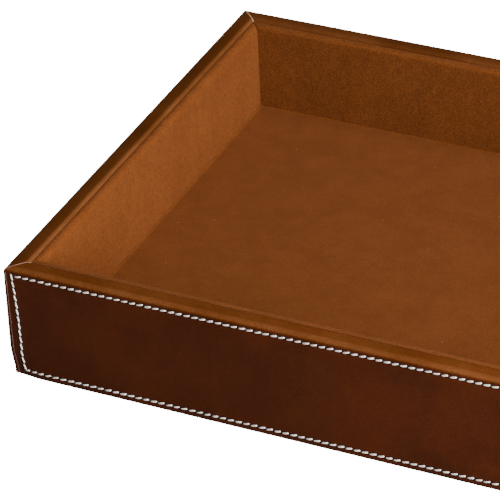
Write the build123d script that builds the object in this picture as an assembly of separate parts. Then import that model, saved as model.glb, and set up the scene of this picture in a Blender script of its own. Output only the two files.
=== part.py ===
from build123d import *
import os
from math import ceil, cos, radians, tan

# A letter tray for a desk: a mitred and pinned wooden box in leather, lined with suede.
# The origin is the middle of the underside, +X runs along the length, +Y to the back, +Z up.
# A wall is drawn as a section: u runs from the leather's outer face inwards, v runs up.

# Outside of the leather box, without the thread that stands on it
tray_length = 343.0
tray_depth = 267.0
wall_height = 61.0

# Layers of a wall, from the outside in
leather_thick = 1.1
backing_thick = 0.6
core_thick = 7.2
lining_board_thick = 2.6
lining_thick = 1.2

# The wood before the leather goes over it: its top falls outwards, its edges are rounded
rim_slope = 4.5
core_outer_round = 0.3
core_inner_round = 1.5
core_bottom_round = 0.3

# How far the leather turns down inside the wall, and in under the base
turn_in = 14.0
hem_width = 12.0

# Inside of the tray
lining_drop = 1.0
lining_round = 1.0
base_thick = 6.0
floor_card_thick = 3.0
floor_lining_thick = 2.1
floor_gap = 0.3

# Underside
felt_thick = 1.2
felt_inset = 4.0
felt_corner_radius = 5.0
infill_gap = 0.4

# Lockstitch round each outer face
thread_width = 0.95
thread_crown = 0.5
thread_proud = 0.5
stitch_pitch = 4.0
stitch_gap = 0.7
stitch_slant = 11.5
stitch_from_rim = 3.2
stitch_from_hem = 3.9
stitch_from_corner = 5.5

# Headless brads
brad_diameter = 1.2
brad_length = 22.0
brad_clearance = 0.02
corner_brad_count = 3
corner_brad_margin = 14.0
base_brad_spacing = 75.0
base_brad_margin = 25.0

# Levels and depths that follow from the sizes above
hem_bottom = felt_thick
hem_top = hem_bottom + leather_thick
rim_top = hem_bottom + wall_height
base_top = hem_top + base_thick
lining_top = rim_top - lining_drop
core_outside = leather_thick + backing_thick
core_inside = core_outside + core_thick
rim_width = core_inside + leather_thick
board_inside = rim_width + lining_board_thick
lining_inside = board_inside + lining_thick


def block(u_min, u_max, v_min, v_max):
    """A rectangle of the wall's section between two depths and two levels."""
    width = u_max - u_min
    height = v_max - v_min
    return Pos(u_min + width / 2, v_min + height / 2) * Rectangle(width, height)


def rounded(section, u, v, radius):
    """The section with its corner nearest to a point rounded."""
    corner = section.vertices().sort_by_distance((u, v, 0))[0]
    return fillet(corner, radius)


def rim_level(u, grown):
    """Level of the wood's sloping top, grown outwards, before its edges are rounded."""
    inner_round_u = core_inside - core_inner_round
    inner_round_v = rim_top - leather_thick - core_inner_round
    above = (core_inner_round + grown) / cos(radians(rim_slope))
    return inner_round_v + above + (u - inner_round_u) * tan(radians(rim_slope))


def wrapped_section(grown):
    """The wood and its backing in section, grown outwards on every side."""
    u_min = leather_thick - grown
    u_max = core_inside + grown
    v_min = hem_top - grown
    v_outer = rim_level(u_min, grown)
    v_inner = rim_level(u_max, grown)
    outline = Polyline(
        (u_min, v_min),
        (u_max, v_min),
        (u_max, v_inner),
        (u_min, v_outer),
        close=True,
    )
    section = make_face(outline)
    section = rounded(section, u_min, v_outer, core_outer_round + grown)
    section = rounded(section, u_max, v_inner, core_inner_round + grown)
    return rounded(section, u_min, v_min, core_bottom_round + grown)


def core_section():
    return wrapped_section(0) & block(core_outside, core_inside, 0, rim_top)


def backing_section():
    return wrapped_section(0) & block(0, core_outside, 0, rim_top)


def leather_section():
    """One hide: hem under the base, outer face, rim, and the edge turned down inside."""
    hide = wrapped_section(leather_thick) - wrapped_section(0)
    hide -= block(core_inside, rim_width, hem_top, rim_top - turn_in)
    return hide + block(core_outside, hem_width, hem_bottom, hem_top)


def lining_board_section():
    """Card that is pared back beside the turned-in leather."""
    board = block(core_inside, board_inside, base_top, lining_top - lining_thick)
    return board - block(core_inside, rim_width, rim_top - turn_in, rim_top)


def lining_section():
    """Suede over the face and the top edge of its card."""
    suede = block(rim_width, lining_inside, base_top, lining_top)
    suede -= block(rim_width, board_inside, base_top, lining_top - lining_thick)
    return rounded(suede, lining_inside, lining_top, lining_round)


def mitred(section, run):
    """A wall's layer along X with both ends cut at 45 degrees from the outer corners."""
    reach = max(hem_width, lining_inside) + 1
    plan = Polyline(
        (-run / 2, 0),
        (run / 2, 0),
        (run / 2 - reach, reach),
        (-run / 2 + reach, reach),
        close=True,
    )
    prism = extrude(make_face(plan), amount=rim_top + 1)
    return extrude(Plane.YZ * section, amount=run / 2, both=True) & prism


def corner_laps(run):
    """The two upright strips where a side's leather laps the end of a long face."""
    low = hem_bottom + core_bottom_round + leather_thick
    high = rim_level(0, leather_thick) - core_outer_round - leather_thick
    middle = (low + high) / 2
    lap = Box(leather_thick, leather_thick, high - low)
    at = run / 2 - leather_thick / 2
    return [Pos(x, leather_thick / 2, middle) * lap for x in (-at, at)]


def stitch(length):
    """One stitch on the face y = 0, along X, standing out towards -Y."""
    outline = Polyline(
        (0, -thread_width / 2),
        (-thread_proud, -thread_crown / 2),
        (-thread_proud, thread_crown / 2),
        (0, thread_width / 2),
        close=True,
    )
    return extrude(Plane.YZ * make_face(outline), amount=length / 2, both=True)


def stitch_line(start, end, upright):
    """Places of the stitches between two ends, and the length of each."""
    count = ceil(round((end - start) / stitch_pitch, 6))
    step = (end - start) / count
    turn = 90 if upright else 0
    thread = Rot(0, -stitch_slant + turn, 0) * stitch(step - stitch_gap)
    return thread, [start + (i + 0.5) * step for i in range(count)]


def stitching(run):
    """Every stitch of one outer face: two rows and two columns."""
    half = run / 2 - stitch_from_corner
    low = hem_bottom + stitch_from_hem
    high = rim_top - stitch_from_rim
    stitches = []
    thread, places = stitch_line(-half, half, False)
    for z in (low, high):
        stitches += [Pos(x, 0, z) * thread for x in places]
    thread, places = stitch_line(low, high, True)
    for x in (-half, half):
        stitches += [Pos(x, 0, z) * thread for z in places]
    return stitches


def spread(low, high, count):
    """Evenly spaced places, both ends included."""
    return [low + (high - low) * i / (count - 1) for i in range(count)]


def corner_brad_places():
    """Brads driven in from the long faces, through the mitres, into the side walls."""
    x = tray_length / 2 - core_outside - core_thick / 2
    y = tray_depth / 2 - core_outside
    levels = spread(base_top + corner_brad_margin, rim_top - corner_brad_margin, corner_brad_count)
    places = []
    for z in levels:
        for side in (-x, x):
            places.append(Pos(side, -y, z) * Rot(-90, 0, 0))
            places.append(Pos(side, y, z) * Rot(90, 0, 0))
    return places


def base_brad_places(run, place):
    """Brads driven in through one wall into the edge of the base."""
    half = run / 2 - core_inside - base_brad_margin
    count = ceil(2 * half / base_brad_spacing) + 1
    z = hem_top + base_thick / 2
    return [place * Pos(x, core_outside, z) * Rot(-90, 0, 0) for x in spread(-half, half, count)]


def pins(places, radius):
    """A pin of the brads' length at each place, from its driven end inwards."""
    pin = Cylinder(radius, brad_length, align=(Align.CENTER, Align.CENTER, Align.MIN))
    return [place * pin for place in places]


def plate(length, depth, low, high):
    """A flat sheet that lies about the middle of the tray."""
    return Pos(0, 0, low) * extrude(Rectangle(length, depth), amount=high - low)


# Each wall's run along its outer face, and where the wall stands
walls = {
    "front": (tray_length, Pos(0, -tray_depth / 2, 0)),
    "right": (tray_depth, Pos(tray_length / 2, 0, 0) * Rot(0, 0, 90)),
    "back": (tray_length, Pos(0, tray_depth / 2, 0) * Rot(0, 0, 180)),
    "left": (tray_depth, Pos(-tray_length / 2, 0, 0) * Rot(0, 0, -90)),
}
parts = {}

# Brads and the holes they make
corner_places = corner_brad_places()
base_places = []
for run, place in walls.values():
    base_places += base_brad_places(run, place)
parts["corner_brads"] = pins(corner_places, brad_diameter / 2)
parts["base_brads"] = pins(base_places, brad_diameter / 2)
brad_holes = pins(corner_places + base_places, brad_diameter / 2 + brad_clearance)

# The four walls, layer by layer
for name, (run, place) in walls.items():
    leather = mitred(leather_section(), run)
    if name in ("left", "right"):
        leather += corner_laps(run)
    else:
        leather -= corner_laps(run)
    parts[name + "_core"] = place * mitred(core_section(), run) - brad_holes
    parts[name + "_backing"] = place * mitred(backing_section(), run)
    parts[name + "_leather"] = place * leather
    parts[name + "_stitching"] = [place * thread for thread in stitching(run)]
    parts[name + "_lining_board"] = place * mitred(lining_board_section(), run)
    parts[name + "_lining"] = place * mitred(lining_section(), run)

# Base, between the walls and on the leather's hem
base_length = tray_length - 2 * core_inside
base_depth = tray_depth - 2 * core_inside
parts["base_board"] = plate(base_length, base_depth, hem_top, base_top) - brad_holes

# Floor inside the wall linings: a card under suede with rounded edges
floor_length = tray_length - 2 * (lining_inside + floor_gap)
floor_depth = tray_depth - 2 * (lining_inside + floor_gap)
card_top = base_top + floor_card_thick
floor_top = card_top + floor_lining_thick
floor_lining = plate(floor_length, floor_depth, card_top, floor_top)
floor_edges = floor_lining.faces().sort_by(Axis.Z)[-1].edges()
parts["floor_card"] = plate(floor_length, floor_depth, base_top, card_top)
parts["floor_lining"] = fillet(floor_edges, lining_round)

# Underside: card level with the hem, and felt over both
infill_inset = hem_width + infill_gap
infill_length = tray_length - 2 * infill_inset
infill_depth = tray_depth - 2 * infill_inset
parts["underside_infill"] = plate(infill_length, infill_depth, hem_bottom, hem_top)
felt_outline = RectangleRounded(
    tray_length - 2 * felt_inset,
    tray_depth - 2 * felt_inset,
    felt_corner_radius,
)
parts["underside_felt"] = extrude(felt_outline, amount=felt_thick)

os.makedirs("parts", exist_ok=True)
for name, shape in parts.items():
    solids = []
    for piece in shape if isinstance(shape, list) else [shape]:
        solids += piece.solids()
    export_step(Compound(children=solids), f"parts/{name}.step")
    print(name, len(solids), "solids")
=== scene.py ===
import bmesh
import bpy
import math
import random
from mathutils import Matrix, Vector


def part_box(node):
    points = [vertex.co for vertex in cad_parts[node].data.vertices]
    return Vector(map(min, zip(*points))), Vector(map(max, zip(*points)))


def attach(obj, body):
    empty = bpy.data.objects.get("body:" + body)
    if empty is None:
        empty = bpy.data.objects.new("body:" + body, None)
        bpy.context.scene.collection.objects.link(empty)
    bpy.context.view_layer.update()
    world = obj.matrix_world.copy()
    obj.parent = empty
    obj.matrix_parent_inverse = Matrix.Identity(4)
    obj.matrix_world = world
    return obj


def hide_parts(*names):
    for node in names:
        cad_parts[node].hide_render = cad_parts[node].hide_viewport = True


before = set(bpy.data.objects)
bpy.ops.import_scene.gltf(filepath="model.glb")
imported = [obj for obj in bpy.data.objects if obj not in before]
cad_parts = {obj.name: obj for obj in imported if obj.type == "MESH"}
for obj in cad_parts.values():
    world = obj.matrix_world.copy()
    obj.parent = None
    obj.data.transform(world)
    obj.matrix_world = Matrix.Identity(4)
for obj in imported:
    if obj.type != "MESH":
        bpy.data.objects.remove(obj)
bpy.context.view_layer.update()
mm = 0.001
cell = 5 * mm    # how finely a strip is divided along its length

# The tray's own levels and runs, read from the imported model
coverLow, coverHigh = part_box("front_leather")
liningLow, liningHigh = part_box("front_lining")
floorLow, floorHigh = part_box("floor_lining")
trayLength = coverHigh.x - coverLow.x
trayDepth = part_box("left_leather")[1].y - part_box("left_leather")[0].y
hemLevel, rimLevel = coverLow.z, coverHigh.z


def wallPlace(x, y, turn):
    return Matrix.Translation((x, y, 0)) @ Matrix.Rotation(math.radians(turn), 4, "Z")


# Every wall is made lying along X with its outer face on y = 0, then stood in its place
walls = {
    "front": (trayLength, Matrix.Translation((0, -trayDepth / 2, 0))),
    "right": (trayDepth, wallPlace(trayLength / 2, 0, 90)),
    "back": (trayLength, wallPlace(0, trayDepth / 2, 180)),
    "left": (trayDepth, wallPlace(-trayLength / 2, 0, -90)),
}


def leaveEdit():
    if bpy.context.object and bpy.context.object.mode != "OBJECT":
        bpy.ops.object.mode_set(mode="OBJECT")


def only(piece):
    leaveEdit()
    bpy.ops.object.select_all(action="DESELECT")
    piece.select_set(True)
    bpy.context.view_layer.objects.active = piece


def addBlock(name, low, high):
    leaveEdit()
    bpy.ops.object.select_all(action="DESELECT")
    middle = [(a + b) / 2 for a, b in zip(low, high)]
    size = [b - a for a, b in zip(low, high)]
    bpy.ops.mesh.primitive_cube_add(size=1, location=middle, scale=size)
    piece = bpy.context.object
    piece.name = piece.data.name = name
    bpy.ops.object.transform_apply(location=True, rotation=True, scale=True)
    return piece


def pick(piece, kind, test):
    only(piece)
    bpy.ops.object.mode_set(mode="EDIT")
    bpy.ops.mesh.select_mode(type=kind)
    bpy.ops.mesh.select_all(action="DESELECT")
    mesh = bmesh.from_edit_mesh(piece.data)
    for item in {"VERT": mesh.verts, "EDGE": mesh.edges, "FACE": mesh.faces}[kind]:
        if kind == "VERT":
            hit = test(item.co)
        elif kind == "EDGE":
            hit = test(item.verts[0].co, item.verts[1].co)
        else:
            hit = test(item.calc_center_median(), item.normal)
        if hit:
            item.select_set(True)
    bmesh.update_edit_mesh(piece.data)


def near(a, b, reach=2e-5):
    return abs(a - b) < reach


def alongX(a, b):
    return near(a.y, b.y) and near(a.z, b.z) and not near(a.x, b.x)


def upright(a, b):
    return near(a.x, b.x) and abs(a.z - b.z) > 20 * mm


def cut(piece, place, normal, clear=False):
    only(piece)
    bpy.ops.object.mode_set(mode="EDIT")
    bpy.ops.mesh.select_all(action="SELECT")
    bpy.ops.mesh.bisect(plane_co=place, plane_no=normal, clear_outer=clear, threshold=1e-6)
    bpy.ops.mesh.select_all(action="DESELECT")
    leaveEdit()


def roundEdge(piece, y, z, radius, steps):
    pick(piece, "EDGE", lambda a, b: alongX(a, b) and near(a.y, y) and near(a.z, z))
    bpy.ops.mesh.bevel(offset=radius, segments=steps, profile=0.5, affect="EDGES")
    leaveEdit()


def stand(piece, place):
    only(piece)
    piece.matrix_world = place @ piece.matrix_world
    bpy.ops.object.transform_apply(location=True, rotation=True, scale=True)


def applyModifier(piece, modifier):
    only(piece)
    bpy.ops.object.modifier_apply(modifier=modifier.name)


def thicken(piece, thickness, even=True):
    modifier = piece.modifiers.new("sheet", "SOLIDIFY")
    modifier.thickness = thickness
    modifier.offset = -1
    modifier.use_even_offset = even
    applyModifier(piece, modifier)


def joinAll(name, parts):
    leaveEdit()
    bpy.ops.object.select_all(action="DESELECT")
    for part in parts:
        part.select_set(True)
    bpy.context.view_layer.objects.active = parts[0]
    bpy.ops.object.join()
    piece = bpy.context.object
    piece.name = piece.data.name = name
    return piece


def smooth(piece, degrees=35):
    only(piece)
    bpy.ops.object.shade_smooth_by_angle(angle=math.radians(degrees))


def outward(piece):
    only(piece)
    bpy.ops.object.mode_set(mode="EDIT")
    bpy.ops.mesh.select_all(action="SELECT")
    bpy.ops.mesh.normals_make_consistent(inside=False)
    leaveEdit()


def unevenness(name, size):
    texture = bpy.data.textures.new(name, "CLOUDS")
    texture.noise_scale = size
    texture.noise_depth = 2
    return texture


def ripple(piece, texture, amount):
    modifier = piece.modifiers.new("ripple", "DISPLACE")
    modifier.texture = texture
    modifier.texture_coords = "LOCAL"
    modifier.direction = "NORMAL"
    modifier.mid_level = 0.5
    modifier.strength = amount
    applyModifier(piece, modifier)


def finishPiece(piece, nodes):
    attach(piece, "root")
    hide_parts(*nodes)


def newMaterial(name):
    material = bpy.data.materials.new(name)
    material.use_nodes = True
    tree = material.node_tree
    shader = tree.nodes["Principled BSDF"]
    return material, tree, shader


def addNode(tree, kind, **settings):
    node = tree.nodes.new(kind)
    for key, value in settings.items():
        setattr(node, key, value)
    return node


def maths(tree, operation, first, second=None, clamp=False):
    node = addNode(tree, "ShaderNodeMath", operation=operation, use_clamp=clamp)
    for socket, value in zip(node.inputs, (first, second)):
        if value is None:
            continue
        if isinstance(value, (int, float)):
            socket.default_value = value
        else:
            tree.links.new(value, socket)
    return node.outputs[0]


def spread(tree, value, low, high, outLow=0.0, outHigh=1.0, kind="SMOOTHSTEP"):
    node = addNode(tree, "ShaderNodeMapRange", interpolation_type=kind)
    tree.links.new(value, node.inputs["Value"])
    limits = {"From Min": low, "From Max": high, "To Min": outLow, "To Max": outHigh}
    for key, number in limits.items():
        node.inputs[key].default_value = number
    return node.outputs["Result"]


def noise(tree, place, scale, detail=4.0, roughness=0.55, distortion=0.0):
    node = addNode(tree, "ShaderNodeTexNoise")
    tree.links.new(place, node.inputs["Vector"])
    settings = {"Scale": scale, "Detail": detail, "Roughness": roughness, "Distortion": distortion}
    for key, number in settings.items():
        node.inputs[key].default_value = number
    return node.outputs["Fac"]


def blend(tree, amount, first, second, kind="MIX"):
    node = addNode(tree, "ShaderNodeMix", data_type="RGBA", blend_type=kind)
    if isinstance(amount, (int, float)):
        node.inputs[0].default_value = amount
    else:
        tree.links.new(amount, node.inputs[0])
    for socket, value in ((node.inputs[6], first), (node.inputs[7], second)):
        if isinstance(value, (tuple, list)):
            socket.default_value = (*value, 1.0)
        else:
            tree.links.new(value, socket)
    return node.outputs[2]


def bump(tree, height, strength, distance, below=None):
    node = addNode(tree, "ShaderNodeBump")
    node.inputs["Strength"].default_value = strength
    node.inputs["Distance"].default_value = distance
    tree.links.new(height, node.inputs["Height"])
    if below:
        tree.links.new(below, node.inputs["Normal"])
    return node.outputs["Normal"]


def objectPlace(tree, stretch=(1, 1, 1)):
    source = addNode(tree, "ShaderNodeTexCoord").outputs["Object"]
    if stretch == (1, 1, 1):
        return source
    mapping = addNode(tree, "ShaderNodeMapping")
    mapping.inputs["Scale"].default_value = stretch
    tree.links.new(source, mapping.inputs["Vector"])
    return mapping.outputs["Vector"]


camera = {
    "place": (546.76, -1312.97, 956.96),
    "turn": (57.0307, 2.2894, 25.0329),
    "lens": 252.13,
}
bpy.ops.object.select_all(action="DESELECT")
bpy.ops.object.camera_add(
    location=[v * mm for v in camera["place"]],
    rotation=[math.radians(v) for v in camera["turn"]],
)
eye = bpy.context.object
eye.name = "studioCamera"
eye.data.lens = camera["lens"]
eye.data.sensor_width = 36
eye.data.clip_start, eye.data.clip_end = 0.05, 50
bpy.context.scene.camera = eye

studio = {
    "floorSize": 12.0,
    "roomLight": 0.02, "backdrop": 18.0,
    # each light's place, size and power
    "key": ((0.85, -0.45, 0.54), (0.45, 0.45), 19.0),
    "side": ((0.90, 0.0, 0.60), (0.45, 0.45), 9.5),
    "low": ((1.30, -0.70, 0.35), (0.6, 0.4), 28.0),
    "top": ((0.25, 0.0, 1.30), (0.8, 0.8), 9.0),
    "back": ((-1.10, 1.20, 0.12), (1.2, 0.2), 34.0),
}


def areaLight(name, place, size, power):
    bpy.ops.object.light_add(type="AREA", location=place)
    light = bpy.context.object
    light.name = name
    light.data.shape = "RECTANGLE"
    light.data.size, light.data.size_y = size
    light.data.energy = power
    light.rotation_euler = (-Vector(place)).to_track_quat("-Z", "Y").to_euler()
    return light


for kind in ("key", "side", "low", "top", "back"):
    # the back light only fills the shaded sides, without a streak along the rim
    areaLight(kind + "Light", *studio[kind]).visible_glossy = kind != "back"

world = bpy.data.worlds.new("studioRoom")
world.use_nodes = True
bpy.context.scene.world = world
room = world.node_tree
background = room.nodes["Background"]
background.inputs["Color"].default_value = (1, 1, 1, 1)
seen = addNode(room, "ShaderNodeLightPath").outputs["Is Camera Ray"]
strength = spread(room, seen, 0, 1, studio["roomLight"], studio["backdrop"], "LINEAR")
room.links.new(strength, background.inputs["Strength"])

bpy.ops.mesh.primitive_plane_add(size=studio["floorSize"], location=(0, 0, 0))
floor = bpy.context.object
floor.name = "studioFloor"
floorPaint, tree, shader = newMaterial("paleFloor")
shader.inputs["Base Color"].default_value = (0.3, 0.3, 0.3, 1)
shader.inputs["Roughness"].default_value = 0.9
shader.inputs["Specular IOR Level"].default_value = 0.1
shader.inputs["Emission Color"].default_value = (1, 1, 1, 1)
seen = addNode(tree, "ShaderNodeLightPath").outputs["Is Camera Ray"]
strength = spread(tree, seen, 0, 1, 0, studio["backdrop"], "LINEAR")
tree.links.new(strength, shader.inputs["Emission Strength"])
floor.data.materials.append(floorPaint)
print("camera, floor and light are set")


stitching = {
    "rowStart": 5.3,       # from the corner to the start of a row's first stitch
    "pitch": 4.01,
    "topDrop": 3.6,        # the top row below the rim
    "bottomRise": 3.9,     # the bottom row above the hem
    "columnInset": 6.05,
    "columnLean": 1.9,     # the columns come nearer the corner towards the rim
    "leanFrom": 18.0, "leanOver": 40.0,
    "columnPitch": 3.93,
    "columnFoot": 3.9,     # a column's lower end above the hem
    "columnHead": 2.45,    # its upper end below the rim
    "slant": 13.5,
    "length": 4.1,
    "radius": 0.47,
    "proud": 0.47,
    "loose": 0.10,         # how far a hand-set stitch strays
    # how wide the sunk line along the stitches is, and how far its painted shade reaches
    "grooveAndShade": (0.35, 1.15),
}

leather = {
    "rim": 10.0,
    "fall": 0.787,         # how much lower the rim is at its outer side
    "hide": 0.95,          # thickness of the hide
    "outerRound": 1.4, "innerRound": 2.6, "hemRound": 1.4,
    "crown": 0.12,
    "hem": 12.0,
    "turnIn": 14.0,
    "faceCuts": 13, "rimCuts": 3,
    "trim": 1.0,           # how far a side hide stops short of the corner, under its lap
    "lapTop": 1.0, "lapBottom": 1.95,
    "lapDeep": 1.1, "lapProud": 0.01, "lapBevel": 0.3,
    "edgeBevel": 0.16, "rawEdge": 0.30,
    "ripple": 0.10,
    "pinch": (1.2, 1.2, 0.0), "pinchReach": 17.0,
}
# the rounding at the rim's inner side ends just below the rim's level
innerTop = rimLevel + (leather["innerRound"] * 0.082 - 0.07) * mm
outerTop = innerTop - leather["fall"] * mm
shoulder = outerTop - leather["outerRound"] * mm


def leatherMaterial(name, run, lengthAxis, rimPaintedLight, highlightAt, highlightTint):
    look = {
        "deep": (0.045, 0.0083, 0.0010),
        "body": (0.059, 0.0114, 0.0015),
        "worn": (0.080, 0.0178, 0.0030),
        # this colour is painted shade, darkening the leather along the stitches
        "grooveAndShade": (0.006, 0.0015, 0.0005), "grooveDepth": 0.35,
        "cloudScale": 28, "streakScale": 90, "fineScale": 1500, "poreScale": 2100,
        "speckle": (0.72, 1.26),
        "roughness": 0.42,
        "specular": 0.10,
    }
    material, tree, shader = newMaterial(name)
    place = objectPlace(tree)
    cloud = noise(tree, place, look["cloudScale"], 5, 0.6)
    streak = noise(tree, objectPlace(tree, (1.0, 1.0, 0.35)), look["streakScale"], 4, 0.6, 0.4)
    fine = noise(tree, place, look["fineScale"], 2, 0.6)
    pores = addNode(tree, "ShaderNodeTexVoronoi", feature="F1")
    tree.links.new(place, pores.inputs["Vector"])
    pores.inputs["Scale"].default_value = look["poreScale"]
    colour = blend(tree, spread(tree, cloud, 0.36, 0.66), look["deep"], look["body"])
    colour = blend(tree, spread(tree, streak, 0.55, 0.85, 0.0, 0.45), colour, look["worn"])
    speckle = addNode(tree, "ShaderNodeVectorMath", operation="SCALE")
    tree.links.new(colour, speckle.inputs[0])
    amount = spread(tree, fine, 0.3, 0.7, *look["speckle"], "LINEAR")
    tree.links.new(amount, speckle.inputs["Scale"])
    colour = speckle.outputs[0]

    # The stitches lie in a slight hollow, and the leather along the stitches is darkened with painted shade
    split = addNode(tree, "ShaderNodeSeparateXYZ")
    tree.links.new(place, split.inputs[0])
    x, z = split.outputs[lengthAxis], split.outputs["Z"]
    topRow = rimLevel - stitching["topDrop"] * mm
    bottomRow = hemLevel + stitching["bottomRise"] * mm
    toTop = maths(tree, "ABSOLUTE", maths(tree, "SUBTRACT", z, topRow))
    toBottom = maths(tree, "ABSOLUTE", maths(tree, "SUBTRACT", z, bottomRow))
    toRow = maths(tree, "MINIMUM", toTop, toBottom)
    fromEnd = maths(tree, "SUBTRACT", run / 2, maths(tree, "ABSOLUTE", x))
    inRow = maths(tree, "GREATER_THAN", fromEnd, stitching["rowStart"] * mm)
    lean = maths(tree, "SUBTRACT", z, stitching["leanFrom"] * mm)
    lean = maths(tree, "MAXIMUM", maths(tree, "DIVIDE", lean, stitching["leanOver"] * mm), 0.0)
    lean = maths(tree, "MULTIPLY", maths(tree, "MULTIPLY", lean, lean), stitching["columnLean"] * mm)
    columnAt = maths(tree, "SUBTRACT", stitching["columnInset"] * mm, lean)
    toColumn = maths(tree, "ABSOLUTE", maths(tree, "SUBTRACT", fromEnd, columnAt))
    below = maths(tree, "LESS_THAN", z, topRow)
    above = maths(tree, "GREATER_THAN", z, bottomRow)
    inColumn = maths(tree, "MULTIPLY", below, above)
    deepest, edge = [width * mm for width in stitching["grooveAndShade"]]
    rowGroove = maths(tree, "MULTIPLY", spread(tree, toRow, deepest, edge, 1, 0), inRow)
    columnGroove = maths(tree, "MULTIPLY", spread(tree, toColumn, deepest, edge, 1, 0), inColumn)
    grooveAndShade = maths(tree, "MAXIMUM", rowGroove, columnGroove)
    outside = addNode(tree, "ShaderNodeNewGeometry").outputs["Normal"]
    facing = addNode(tree, "ShaderNodeSeparateXYZ")
    tree.links.new(outside, facing.inputs[0])
    onFace = spread(tree, maths(tree, "ABSOLUTE", facing.outputs["Z"]), 0.3, 0.7, 1, 0)
    grooveAndShade = maths(tree, "MULTIPLY", grooveAndShade, onFace)
    # painted shade: the leather is darkened along the stitch rows and columns
    colour = blend(tree, maths(tree, "MULTIPLY", grooveAndShade, 0.6), colour, look["grooveAndShade"])

    # Painted light: the rim is paled by a per-wall tint for how the light falls on it, and a painted highlight
    # is laid along it
    crosswise = split.outputs["Y" if lengthAxis == "X" else "X"]
    half = (trayDepth if lengthAxis == "X" else trayLength) / 2
    across = maths(tree, "SUBTRACT", half, maths(tree, "ABSOLUTE", crosswise))
    onRim = spread(tree, z, shoulder + 0.1 * mm, outerTop - 0.2 * mm)
    # painted light: the rim's colour is raised by this wall's tint for how the light falls on it
    colour = blend(tree, onRim, colour, rimPaintedLight, "MULTIPLY")
    low, high = [edge * mm for edge in highlightAt]
    rising = spread(tree, across, low - 0.7 * mm, low + 0.5 * mm)
    falling = spread(tree, across, high - 0.5 * mm, high + 0.9 * mm, 1, 0)
    overShoulder = spread(tree, z, shoulder - 0.4 * mm, shoulder + 0.6 * mm)
    # painted highlight along the rim's rounding, where the light catches it
    paintedHighlight = maths(tree, "MULTIPLY", maths(tree, "MULTIPLY", rising, falling), overShoulder)
    colour = blend(tree, paintedHighlight, colour, highlightTint, "MULTIPLY")
    tree.links.new(colour, shader.inputs["Base Color"])

    height = maths(tree, "ADD", maths(tree, "MULTIPLY", fine, 0.5), pores.outputs["Distance"])
    normal = bump(tree, height, 0.10, 0.00012)
    normal = bump(tree, cloud, 0.25, 0.0012, normal)
    normal = bump(tree, grooveAndShade, 0.6, -look["grooveDepth"] * mm, normal)
    tree.links.new(normal, shader.inputs["Normal"])
    rough = spread(tree, cloud, 0.3, 0.7, look["roughness"] - 0.05, look["roughness"] + 0.08)
    tree.links.new(rough, shader.inputs["Roughness"])
    shader.inputs["Specular IOR Level"].default_value = look["specular"]
    return material


def rawEdgeMaterial():
    look = {"dark": (0.20, 0.085, 0.05), "light": (0.44, 0.25, 0.17)}
    material, tree, shader = newMaterial("leatherRawEdge")
    place = objectPlace(tree)
    fleck = spread(tree, noise(tree, place, 900, 3), 0.35, 0.65)
    colour = blend(tree, fleck, look["dark"], look["light"])
    tree.links.new(colour, shader.inputs["Base Color"])
    tree.links.new(bump(tree, noise(tree, place, 2500, 2), 0.3, 0.0002), shader.inputs["Normal"])
    shader.inputs["Roughness"].default_value = 0.75
    return material


rawEdge = rawEdgeMaterial()
# each wall's rim: its painted light tint (lit and shaded copies per wall), where its painted highlight runs in
# from the outer face, and the highlight's tint
rimLighting = {
    "front": ((1.65, 2.4, 3.8), (0.5, 3.0), (1.35, 1.5, 1.9)),
    "back": ((1.37, 2.0, 3.3), (6.0, 8.6), (1.2, 1.3, 1.5)),
    "left": ((1.27, 1.9, 2.8), (7.6, 9.6), (1.5, 1.7, 2.4)),
    "right": ((1.27, 1.9, 2.8), (7.6, 9.6), (1.5, 1.7, 2.4)),
}
hides = {}
# one copy of the leather per wall, each with its own painted light on the rim
for name, rimLightingEntry in rimLighting.items():
    lengthAxis = "Y" if name in ("left", "right") else "X"
    hides[name] = leatherMaterial("leather" + name.title(), walls[name][0], lengthAxis, *rimLightingEntry)
hideRipple = unevenness("hideRipple", 0.035)


def addPinch():
    corner = Vector((-trayLength / 2, -trayDepth / 2, hemLevel))
    bpy.ops.object.select_all(action="DESELECT")
    bpy.ops.object.empty_add(location=corner)
    start = bpy.context.object
    bpy.ops.object.empty_add(location=corner + Vector(leather["pinch"]) * mm)
    return start, bpy.context.object


pinchFrom, pinchTo = addPinch()


def pinch(piece):
    modifier = piece.modifiers.new("pinch", "WARP")
    modifier.object_from, modifier.object_to = pinchFrom, pinchTo
    modifier.strength = 1.0
    modifier.falloff_type = "SMOOTH"
    modifier.falloff_radius = leather["pinchReach"] * mm
    applyModifier(piece, modifier)


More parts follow.
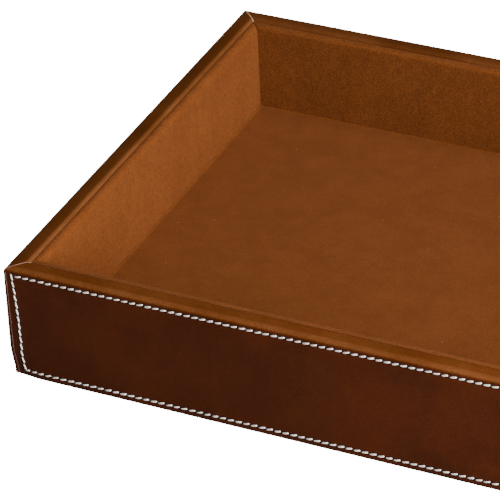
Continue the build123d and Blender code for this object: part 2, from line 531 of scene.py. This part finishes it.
def hideStrip(name, run):
    rim, low = leather["rim"] * mm, hemLevel
    strip = addBlock(name, (-run / 2, 0, low), (run / 2, rim, innerTop))
    pick(strip, "VERT", lambda co: near(co.y, 0) and near(co.z, innerTop))
    bpy.ops.transform.translate(value=(0, 0, outerTop - innerTop))
    roundEdge(strip, 0, outerTop, leather["outerRound"] * mm, 6)
    roundEdge(strip, rim, innerTop, leather["innerRound"] * mm, 7)
    roundEdge(strip, 0, low, leather["hemRound"] * mm, 4)
    turn = rimLevel - leather["turnIn"] * mm
    cut(strip, (0, 0, turn), (0, 0, 1))
    pick(strip, "FACE", lambda c, n: abs(n.x) > 0.9 or (n.y > 0.9 and c.z < turn))
    bpy.ops.mesh.delete(type="FACE")
    pick(strip, "EDGE", lambda a, b: alongX(a, b) and near(a.y, rim) and near(a.z, low))
    bpy.ops.mesh.extrude_edges_move(TRANSFORM_OT_translate={"value": (0, leather["hem"] * mm - rim, 0)})
    pick(strip, "EDGE", alongX)
    bpy.ops.mesh.subdivide(number_cuts=int(run / cell))
    pick(strip, "EDGE", lambda a, b: near(a.y, 0) and near(b.y, 0) and upright(a, b))
    bpy.ops.mesh.subdivide(number_cuts=leather["faceCuts"])
    pick(strip, "EDGE", lambda a, b: min(a.z, b.z) > shoulder and near(a.x, b.x) and abs(a.y - b.y) > 4 * mm)
    bpy.ops.mesh.subdivide(number_cuts=leather["rimCuts"])
    flatStart, flatEnd = leather["outerRound"] * mm, rim - leather["innerRound"] * mm
    for share, lift in ((0.25, 0.75), (0.5, 1.0), (0.75, 0.75)):
        row = flatStart + (flatEnd - flatStart) * share
        pick(strip, "VERT", lambda co: co.z > shoulder and near(co.y, row, 0.2 * mm))
        bpy.ops.transform.translate(value=(0, 0, leather["crown"] * mm * lift))
    leaveEdit()
    return strip


def mitre(piece, run):
    cut(piece, (run / 2, 0, 0), (1, 1, 0), clear=True)
    cut(piece, (-run / 2, 0, 0), (-1, 1, 0), clear=True)


def hideShell(piece):
    thicken(piece, leather["hide"] * mm)
    modifier = piece.modifiers.new("softEdges", "BEVEL")
    modifier.width = leather["edgeBevel"] * mm
    modifier.segments = 2
    modifier.limit_method = "ANGLE"
    modifier.angle_limit = math.radians(50)
    applyModifier(piece, modifier)


def lapStrip(run, side):
    low = hemLevel + leather["hemRound"] * mm * 0.5
    high = shoulder + 0.15 * mm
    deep, proud = leather["lapDeep"] * mm, leather["lapProud"] * mm
    outer, inner = side * (run / 2 + proud), side * (run / 2 - deep)
    leftEnd, rightEnd = min(outer, inner), max(outer, inner)
    strip = addBlock("lap", (leftEnd, -proud, low), (rightEnd, leather["lapTop"] * mm, high))
    pick(strip, "VERT", lambda co: co.y > 0.5 * mm and co.z < low + 1 * mm)
    bpy.ops.transform.translate(value=(0, (leather["lapBottom"] - leather["lapTop"]) * mm, 0))
    onCorner = lambda co: near(co.x, outer) and near(co.y, -proud)
    pick(strip, "EDGE", lambda a, b: onCorner(a) and onCorner(b))
    bpy.ops.mesh.bevel(offset=leather["lapBevel"] * mm, segments=3, affect="EDGES")
    pick(strip, "EDGE", lambda a, b: abs(a.z - b.z) > 20 * mm)
    bpy.ops.mesh.subdivide(number_cuts=14)
    leaveEdit()
    return strip


def paintRawEdges(piece, run, lapped, plain):
    piece.data.materials.clear()
    piece.data.materials.append(plain)
    piece.data.materials.append(rawEdge)
    reach = leather["rawEdge"] * mm
    for face in piece.data.polygons:
        c, n = face.center, face.normal
        toMitre = (run / 2 - abs(c.x) - c.y) / math.sqrt(2)
        widening = (leather["lapBottom"] - leather["lapTop"]) * mm
        lapAt = leather["lapTop"] * mm + widening * (rimLevel - c.z) / (rimLevel - hemLevel)
        toLap = run / 2 - abs(c.x) - lapAt
        onRim = toMitre < reach and c.z > rimLevel - 3.0 * mm
        onEnd = not lapped and c.y < 1.2 * mm and toLap < reach and c.z < shoulder
        face.material_index = 1 if onRim or onEnd else 0


def makeCover(name, run, place, lapped):
    strip = hideStrip(name + "Cover", run)
    ripple(strip, hideRipple, leather["ripple"] * mm)
    mitre(strip, run)
    for side in (-1, 1):
        cut(strip, (side * (run / 2 - leather["rawEdge"] * 1.42 * mm), 0, 0), (side, 1, 0))
    lapTop = leather["lapTop"] * mm
    widening = leather["lapBottom"] * mm - lapTop
    height = rimLevel - hemLevel
    if lapped:
        trim = run / 2 - leather["trim"] * mm
        for side in (-1, 1):
            cut(strip, (side * trim, 0, 0), (side, 0, 0))
        underLap = lambda c: abs(c.x) > trim
    else:
        for side in (-1, 1):
            for inset in (0, leather["rawEdge"] * mm):
                start = (side * (run / 2 - lapTop - inset), 0, rimLevel)
                cut(strip, start, (side * height, 0, -widening))
        underLap = lambda c: run / 2 - abs(c.x) - lapTop - widening * (rimLevel - c.z) / height < 0
    pick(strip, "FACE", lambda c, n: underLap(c) and c.y < 0.3 * mm and c.z < shoulder)
    bpy.ops.mesh.delete(type="FACE")
    leaveEdit()
    hideShell(strip)
    outward(strip)
    paintRawEdges(strip, run, lapped, hides[name])
    if lapped:
        laps = [lapStrip(run, side) for side in (-1, 1)]
        for lap in laps:
            lap.data.materials.append(hides[name])
            outward(lap)
        # a lap stands on the end of the strip, across the corner
        strip = joinAll(name + "Cover", [strip, *laps])
    stand(strip, place)
    if name in ("front", "left"):
        pinch(strip)
    smooth(strip)
    finishPiece(strip, [name + "_leather"])


for name, (run, place) in walls.items():
    makeCover(name, run, place, name in ("left", "right"))
print("leather covers are on")


def threadMaterial():
    look = {"shade": (0.74, 0.61, 0.54), "light": (0.97, 0.86, 0.80)}
    material, tree, shader = newMaterial("waxedThread")
    place = objectPlace(tree)
    fleck = spread(tree, noise(tree, place, 900, 3), 0.3, 0.6)
    tree.links.new(blend(tree, fleck, look["shade"], look["light"]), shader.inputs["Base Color"])
    fibre = noise(tree, objectPlace(tree, (1, 1, 3)), 5000, 2)
    tree.links.new(bump(tree, fibre, 0.35, 0.00008), shader.inputs["Normal"])
    shader.inputs["Roughness"].default_value = 0.55
    shader.inputs["Sheen Weight"].default_value = 0.2
    return material


thread = threadMaterial()


def makeStitch():
    length, radius = stitching["length"] * mm, stitching["radius"] * mm
    leaveEdit()
    bpy.ops.object.select_all(action="DESELECT")
    alongLength = (0, math.radians(90), 0)
    bpy.ops.mesh.primitive_cylinder_add(vertices=8, radius=radius, depth=length, rotation=alongLength)
    piece = bpy.context.object
    bpy.ops.object.transform_apply(location=True, rotation=True, scale=True)
    for i in range(1, 7):
        cut(piece, ((i / 7 - 0.5) * length, 0, 0), (1, 0, 0))
    # each ring: share of the length, thickness, how far it sinks into the leather, turn of the ply
    rings = ((0, 0.50, 0.55, 0), (1, 0.78, 0.22, 24), (2, 0.94, 0.05, 48), (3, 1.0, 0.0, 72),
             (4, 1.03, 0.0, 96), (5, 1.03, 0.02, 120), (6, 0.95, 0.14, 144), (7, 0.62, 0.52, 168))
    for i, thick, sink, turn in rings:
        x = (i / 7 - 0.5) * length
        pick(piece, "VERT", lambda co: near(co.x, x, 2e-4))
        bpy.ops.transform.rotate(value=math.radians(turn), orient_axis="X", center_override=(x, 0, 0))
        bpy.ops.transform.resize(value=(1, thick * 0.8, thick), center_override=(x, 0, 0))
        bpy.ops.transform.translate(value=(0, sink * 0.9 * mm, 0))
    leaveEdit()
    piece.data.materials.append(thread)
    return piece


def stitchPlaces(run):
    places = []
    half = run / 2 - stitching["rowStart"] * mm
    count = round(2 * half / (stitching["pitch"] * mm))
    step = 2 * half / count
    for z in (rimLevel - stitching["topDrop"] * mm, hemLevel + stitching["bottomRise"] * mm):
        places += [(-half + (i + 0.5) * step, z, False, step) for i in range(count)]
    low, high = hemLevel + stitching["columnFoot"] * mm, rimLevel - stitching["columnHead"] * mm
    count = round((high - low) / (stitching["columnPitch"] * mm))
    step = (high - low) / count
    for side in (-1, 1):
        for i in range(count):
            z = low + (i + 0.5) * step
            risen = max((z / mm - stitching["leanFrom"]) / stitching["leanOver"], 0)
            lean = risen ** 2 * stitching["columnLean"]
            x = side * (run / 2 - (stitching["columnInset"] - lean) * mm)
            places.append((x, z, True, step))
    return places


def makeStitching(name, run, place, pattern, chance):
    copies = []
    for x, z, up, step in stitchPlaces(run):
        turn = stitching["slant"] + chance.uniform(-2.5, 2.5) + (-90 if up else 0)
        grow = step / (stitching["pitch"] * mm) * chance.uniform(0.96, 1.04)
        copy = pattern.copy()
        copy.data = pattern.data.copy()
        bpy.context.collection.objects.link(copy)
        stray = stitching["loose"] * mm
        sunk = (stitching["radius"] * 0.83 - stitching["proud"]) * mm
        at = (x + chance.uniform(-stray, stray), sunk, z + chance.uniform(-stray, stray) * 0.6)
        copy.matrix_world = (
            Matrix.Translation(at)
            @ Matrix.Rotation(math.radians(-turn), 4, "Y")
            @ Matrix.Diagonal((grow, 1, chance.uniform(0.94, 1.06), 1))
        )
        copies.append(copy)
    piece = joinAll(name + "Stitching", copies)
    bpy.ops.object.transform_apply(location=True, rotation=True, scale=True)
    stand(piece, place)
    if name in ("front", "left"):
        pinch(piece)
    smooth(piece, 60)
    finishPiece(piece, [name + "_stitching"])


pattern = makeStitch()
chance = random.Random(11)
for name, (run, place) in walls.items():
    makeStitching(name, run, place, pattern, chance)
bpy.data.objects.remove(pattern)
bpy.data.objects.remove(pinchFrom)
bpy.data.objects.remove(pinchTo)
print("stitches are sewn")


suede = {
    "dark": (0.101, 0.0275, 0.0052), "light": (0.113, 0.0318, 0.0064), "speck": (0.30, 0.15, 0.075),
    "wallNap": (1.0, 1.0, 0.35), "floorNap": (1.0, 1.0, 1.0),
    "sheet": 1.1, "floorSheet": 1.9,
    "topRound": {"front": 2.0, "back": 2.0, "left": 3.3, "right": 3.3},
    "patchScale": 60, "mottleScale": 190, "grainScale": 1500,
    "speckScale": 190, "speckSize": 0.06, "speckRarity": 0.88,
    "ripple": 0.16,
    "wallCuts": 11, "floorCells": (62, 48),
    "lip": 0.5, "lipWidth": 1.0,
}


def suedeMaterial(name, nap):
    material, tree, shader = newMaterial(name)
    place = objectPlace(tree)
    patches = noise(tree, objectPlace(tree, nap), suede["patchScale"], 4, 0.6, 0.5)
    mottle = noise(tree, place, suede["mottleScale"], 4, 0.65)
    grain = noise(tree, place, suede["grainScale"], 3, 0.7)
    colour = blend(tree, spread(tree, patches, 0.32, 0.68), suede["dark"], suede["light"])
    shade = spread(tree, mottle, 0.3, 0.7, 0.93, 1.07, "LINEAR")
    shade = maths(tree, "MULTIPLY", shade, spread(tree, grain, 0.35, 0.65, 0.66, 1.34, "LINEAR"))
    scaled = addNode(tree, "ShaderNodeVectorMath", operation="SCALE")
    tree.links.new(colour, scaled.inputs[0])
    tree.links.new(shade, scaled.inputs["Scale"])
    dots = addNode(tree, "ShaderNodeTexVoronoi", feature="F1")
    tree.links.new(place, dots.inputs["Vector"])
    dots.inputs["Scale"].default_value = suede["speckScale"]
    rare = addNode(tree, "ShaderNodeSeparateColor")
    tree.links.new(dots.outputs["Color"], rare.inputs[0])
    small = maths(tree, "LESS_THAN", dots.outputs["Distance"], suede["speckSize"])
    chosen = maths(tree, "GREATER_THAN", rare.outputs[0], suede["speckRarity"])
    speckle = maths(tree, "MULTIPLY", small, chosen)
    colour = blend(tree, maths(tree, "MULTIPLY", speckle, 0.7), scaled.outputs[0], suede["speck"])
    tree.links.new(colour, shader.inputs["Base Color"])
    normal = bump(tree, grain, 0.5, 0.0004)
    normal = bump(tree, mottle, 0.25, 0.0008, normal)
    tree.links.new(normal, shader.inputs["Normal"])
    shader.inputs["Roughness"].default_value = 0.95
    shader.inputs["Specular IOR Level"].default_value = 0.05
    shader.inputs["Sheen Weight"].default_value = 0.03
    shader.inputs["Sheen Roughness"].default_value = 0.6
    shader.inputs["Sheen Tint"].default_value = (0.9, 0.6, 0.4, 1)
    return material


wallSuede = suedeMaterial("wallSuede", suede["wallNap"])
floorSuede = suedeMaterial("floorSuede", suede["floorNap"])
napRipple = unevenness("napRipple", 0.05)
liningOuter = liningLow.y - coverLow.y
liningInner = liningHigh.y - coverLow.y


def makeLining(name, run, place):
    low, high = (-run / 2, liningOuter, liningLow.z), (run / 2, liningInner, liningHigh.z)
    strip = addBlock(name + "Lining", low, high)
    roundEdge(strip, liningInner, liningHigh.z, suede["topRound"][name] * mm, 7)
    pick(strip, "FACE", lambda c, n: abs(n.x) > 0.9 or n.y < -0.9 or n.z < -0.9)
    bpy.ops.mesh.delete(type="FACE")
    pick(strip, "EDGE", alongX)
    bpy.ops.mesh.subdivide(number_cuts=int(run / cell))
    pick(strip, "EDGE", upright)
    bpy.ops.mesh.subdivide(number_cuts=suede["wallCuts"])
    leaveEdit()
    ripple(strip, napRipple, suede["ripple"] * mm)
    mitre(strip, run)
    thicken(strip, suede["sheet"] * mm)
    outward(strip)
    strip.data.materials.append(wallSuede)
    stand(strip, place)
    smooth(strip)
    finishPiece(strip, [name + "_lining"])


for name, (run, place) in walls.items():
    makeLining(name, run, place)


def makeFloor():
    level = floorHigh.z - 0.05 * mm
    halfX, halfY = floorHigh.x, floorHigh.y
    bpy.ops.object.select_all(action="DESELECT")
    across, deep = suede["floorCells"]
    bpy.ops.mesh.primitive_grid_add(x_subdivisions=across, y_subdivisions=deep, size=1, location=(0, 0, level))
    sheet = bpy.context.object
    sheet.scale = (2 * halfX, 2 * halfY, 1)
    sheet.name = sheet.data.name = "floorLining"
    bpy.ops.object.transform_apply(location=True, rotation=True, scale=True)
    width, lip = suede["lipWidth"] * mm, suede["lip"] * mm
    for share in (0.3, 0.6, 1.0, 1.8):
        inset = width * share
        for side in (-1, 1):
            cut(sheet, (side * (halfX - inset), 0, 0), (1, 0, 0))
            cut(sheet, (0, side * (halfY - inset), 0), (0, 1, 0))
    ripple(sheet, napRipple, suede["ripple"] * mm * 0.6)
    # the sheet is pressed against the walls, and its edge stands up a little there
    for share, lift in ((0.0, 1.0), (0.3, 0.55), (0.6, 0.2)):
        inset = width * share
        pick(sheet, "VERT", lambda co: near(min(halfX - abs(co.x), halfY - abs(co.y)), inset, 5e-5))
        bpy.ops.transform.translate(value=(0, 0, lip * lift))
    leaveEdit()
    thicken(sheet, suede["floorSheet"] * mm, False)
    outward(sheet)
    sheet.data.materials.append(floorSuede)
    smooth(sheet)
    finishPiece(sheet, ["floor_lining"])


makeFloor()
print("lining is in")


felt = {"round": 5.0, "edge": 0.35, "dark": (0.018, 0.012, 0.009), "light": (0.045, 0.030, 0.022)}


def feltMaterial():
    material, tree, shader = newMaterial("pressedFelt")
    place = objectPlace(tree)
    fibre = noise(tree, place, 900, 5, 0.75, 1.5)
    colour = blend(tree, spread(tree, fibre, 0.35, 0.65), felt["dark"], felt["light"])
    tree.links.new(colour, shader.inputs["Base Color"])
    tree.links.new(bump(tree, fibre, 0.7, 0.0004), shader.inputs["Normal"])
    shader.inputs["Roughness"].default_value = 1.0
    shader.inputs["Sheen Weight"].default_value = 0.3
    return material


def makeFelt():
    low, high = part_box("underside_felt")
    sheet = addBlock("undersideFelt", low, high)
    pick(sheet, "EDGE", lambda a, b: near(a.x, b.x) and near(a.y, b.y))
    bpy.ops.mesh.bevel(offset=felt["round"] * mm, segments=6, affect="EDGES")
    pick(sheet, "EDGE", lambda a, b: near(a.z, low.z) and near(b.z, low.z))
    bpy.ops.mesh.bevel(offset=felt["edge"] * mm, segments=3, affect="EDGES")
    leaveEdit()
    outward(sheet)
    sheet.data.materials.append(feltMaterial())
    smooth(sheet, 50)
    finishPiece(sheet, ["underside_felt"])


makeFelt()
print("felt is under the tray")


def boardMaterial(name, dark, light, scale, roughness, metallic=0.0):
    material, tree, shader = newMaterial(name)
    place = objectPlace(tree)
    fleck = noise(tree, place, scale, 4, 0.7)
    tree.links.new(blend(tree, spread(tree, fleck, 0.35, 0.65), dark, light), shader.inputs["Base Color"])
    tree.links.new(bump(tree, fleck, 0.25, 0.0003), shader.inputs["Normal"])
    shader.inputs["Roughness"].default_value = roughness
    shader.inputs["Metallic"].default_value = metallic
    return material


hidden = {
    "core": boardMaterial("sandedFibreboard", (0.38, 0.26, 0.15), (0.52, 0.38, 0.24), 700, 0.8),
    "backing": boardMaterial("bondedBacking", (0.15, 0.09, 0.05), (0.25, 0.16, 0.10), 900, 0.9),
    "card": boardMaterial("greyCard", (0.44, 0.42, 0.38), (0.56, 0.54, 0.50), 800, 0.9),
    "brads": boardMaterial("bradWire", (0.50, 0.50, 0.50), (0.62, 0.62, 0.62), 1500, 0.35, 1.0),
}
for name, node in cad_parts.items():
    if name.endswith(("_leather", "_stitching", "_lining")) or name == "underside_felt":
        continue
    if name.endswith("brads"):
        kind = "brads"
    elif name.endswith(("backing", "infill")):
        kind = "backing"
    elif name.endswith(("core", "base_board")):
        kind = "core"
    else:
        kind = "card"
    node.data.materials.clear()
    node.data.materials.append(hidden[kind])
print("inner pieces have their finishes")
